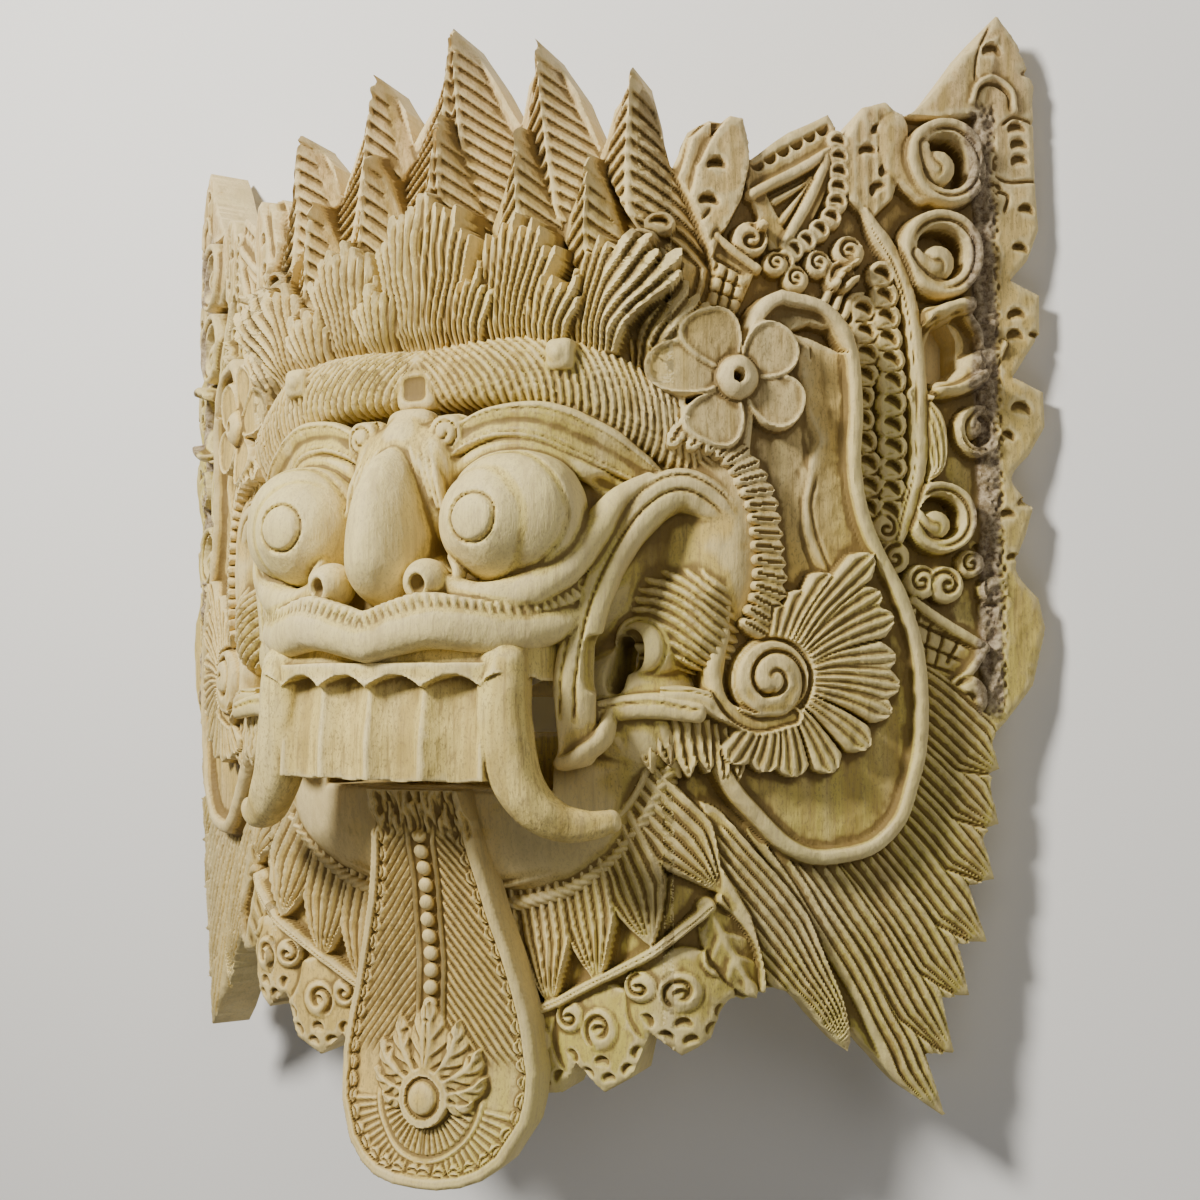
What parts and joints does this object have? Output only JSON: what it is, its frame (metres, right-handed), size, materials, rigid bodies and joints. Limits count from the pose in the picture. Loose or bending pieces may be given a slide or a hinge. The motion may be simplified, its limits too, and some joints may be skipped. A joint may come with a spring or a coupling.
{
  "type": "carved rangda mask",
  "caption": "Carved wooden demon mask with spiked crown, winged sides, bulging eyes, tusks and a long hanging tongue, hollowed at the back.",
  "frame": {"origin": "middle of the mask's outline, on the plane of its flat back edges, on which it lies face up", "axes": "+X across the face to the viewer's right, +Y towards the top of the crown, +Z out of the face"},
  "size_m": [0.4512, 0.4844, 0.183],
  "materials": {
    "carved_wood": "bare pale wood cut with knives and gouges, satin to dull, darker in the hollows"
  },
  "bodies": {
    "root": {"mask": "carved_wood"}
  },
  "joints": []
}
